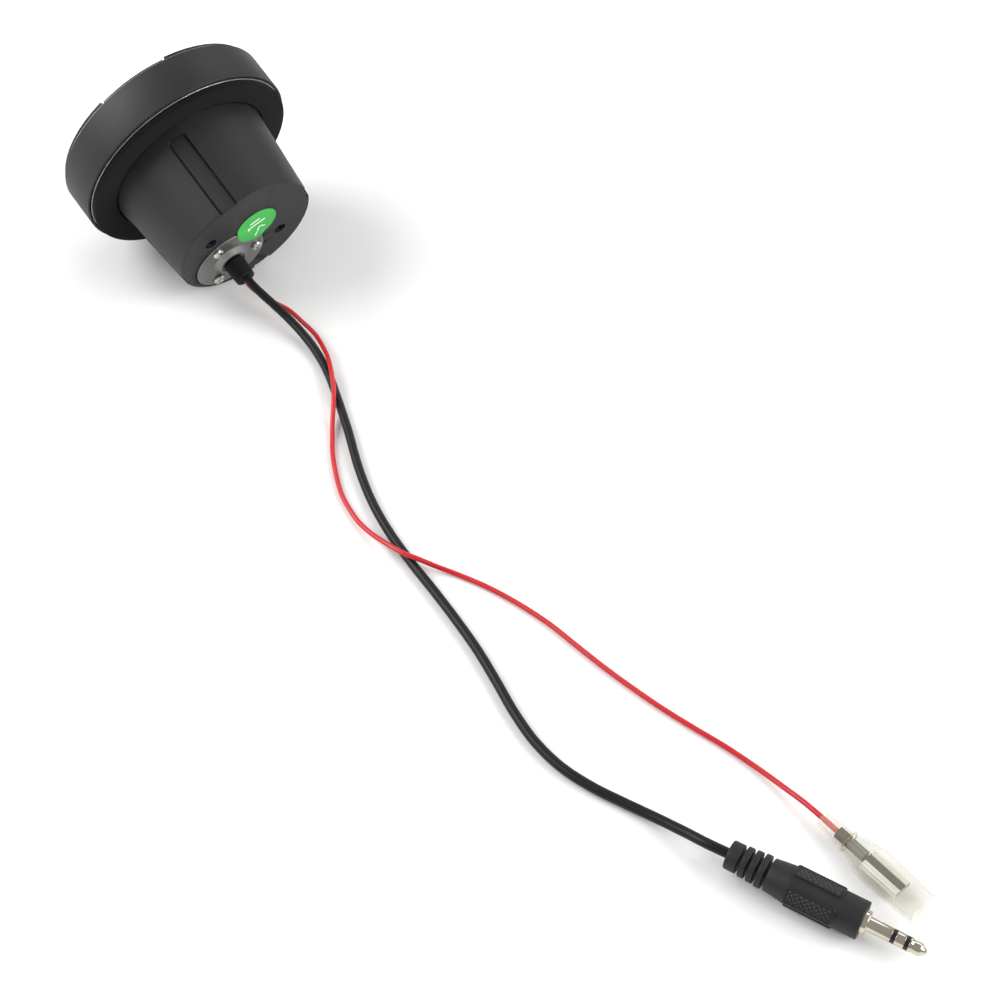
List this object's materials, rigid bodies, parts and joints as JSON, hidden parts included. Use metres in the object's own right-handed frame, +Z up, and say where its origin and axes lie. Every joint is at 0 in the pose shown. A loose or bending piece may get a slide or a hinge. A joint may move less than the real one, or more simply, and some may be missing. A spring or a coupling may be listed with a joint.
{
  "type": "panel-mount wired remote control",
  "caption": "Round panel-mount wired remote control lying on its side, with a jack plug on a black lead and an insulated push-on terminal on a red wire.",
  "frame": {"origin": "on the surface that the part lies on, under the middle of the unit's box", "axes": "+Z up, +X towards the unit's back and along the leads, +Y across; the unit lies on its bezel's and case's rear edges"},
  "size_m": [0.3394, 0.0777, 0.0699],
  "materials": {
    "moulded_case": "fine spark-eroded texture, matte black",
    "moulded_face": "satin black",
    "key_plastic": "satin black with white symbols",
    "diffuser": "clear frosted light guide",
    "silicone": "translucent grey silicone",
    "board": "green solder mask",
    "chip": "black epoxy",
    "capacitor_can": "can with sleeve",
    "nylon": "natural nylon",
    "seal_rubber": "black nitrile",
    "plate_metal": "satin",
    "foam": "closed-cell foam",
    "brushed_plate": "fine brushed",
    "gland_rubber": "matte black rubber",
    "steel": "zinc plated",
    "dark_steel": "black oxide",
    "bright_screw": "bright nickel plated",
    "sticker": "green paper label with white print",
    "black_cable": "black PVC sheath",
    "red_insulation": "red PVC insulation",
    "plug_moulding": "black moulded PVC, knurled grips",
    "nickel": "bright nickel plate",
    "jack_insulator": "black acetal",
    "milky_sleeve": "milky translucent vinyl",
    "terminal_metal": "tinned steel",
    "switch_can": "stamped steel",
    "light_lens": "clear epoxy"
  },
  "bodies": {
    "unit": {"bezel_ring": "moulded_case", "black_lead": "black_cable", "cable_gland": "gland_rubber", "capacitor_1": "capacitor_can", "capacitor_2": "capacitor_can", "case_screw_1": "steel", "case_screw_2": "steel", "case_screw_3": "steel", "case_screw_4": "steel", "case_seal": "seal_rubber", "circuit_board": "board", "face_plate": "moulded_face", "flange_plate": "plate_metal", "front_case": "moulded_case", "gland_nut": "steel", "gland_plate": "brushed_plate", "gland_screw_1": "bright_screw", "gland_screw_2": "bright_screw", "gland_screw_3": "bright_screw", "inner_lead": "black_cable", "jack_insulator_1": "jack_insulator", "jack_insulator_2": "jack_insulator", "jack_ring": "nickel", "jack_sleeve": "nickel", "jack_tip": "nickel", "key_light_1": "light_lens", "key_light_2": "light_lens", "key_light_3": "light_lens", "key_light_4": "light_lens", "key_mat": "silicone", "lead_plug": "nylon", "lead_socket": "nylon", "light_guide": "diffuser", "main_chip": "chip", "panel_gasket": "foam", "plug_collar": "nickel", "plug_handle": "plug_moulding", "push_on_terminal": "terminal_metal", "radio_chip": "chip", "rear_case": "moulded_case", "red_wire": "red_insulation", "round_sticker": "sticker", "stud_insert_1": "dark_steel", "stud_insert_2": "dark_steel", "tact_switch_1": "switch_can", "tact_switch_2": "switch_can", "tact_switch_3": "switch_can", "tact_switch_4": "switch_can", "tact_switch_5": "switch_can", "terminal_sleeve": "milky_sleeve"},
    "key_next": {"key_next": "key_plastic"},
    "key_volume_up": {"key_volume_up": "key_plastic"},
    "key_previous": {"key_previous": "key_plastic"},
    "key_volume_down": {"key_volume_down": "key_plastic"},
    "key_play": {"key_play": "key_plastic"}
  },
  "joints": [
    {"name": "key_next_press", "type": "slide", "parent": "unit", "child": "key_next", "axis": [0.9352, 0, -0.354], "range_m": [0, 0.0006], "stiffness_N_per_m": 1500, "springref_m": -0.0002},
    {"name": "key_volume_up_press", "type": "slide", "parent": "unit", "child": "key_volume_up", "axis": [0.9352, 0, -0.354], "range_m": [0, 0.0006], "stiffness_N_per_m": 1500, "springref_m": -0.0002},
    {"name": "key_previous_press", "type": "slide", "parent": "unit", "child": "key_previous", "axis": [0.9352, 0, -0.354], "range_m": [0, 0.0006], "stiffness_N_per_m": 1500, "springref_m": -0.0002},
    {"name": "key_volume_down_press", "type": "slide", "parent": "unit", "child": "key_volume_down", "axis": [0.9352, 0, -0.354], "range_m": [0, 0.0006], "stiffness_N_per_m": 1500, "springref_m": -0.0002},
    {"name": "key_play_press", "type": "slide", "parent": "unit", "child": "key_play", "axis": [0.9352, 0, -0.354], "range_m": [0, 0.0006], "stiffness_N_per_m": 1500, "springref_m": -0.0002}
  ]
}
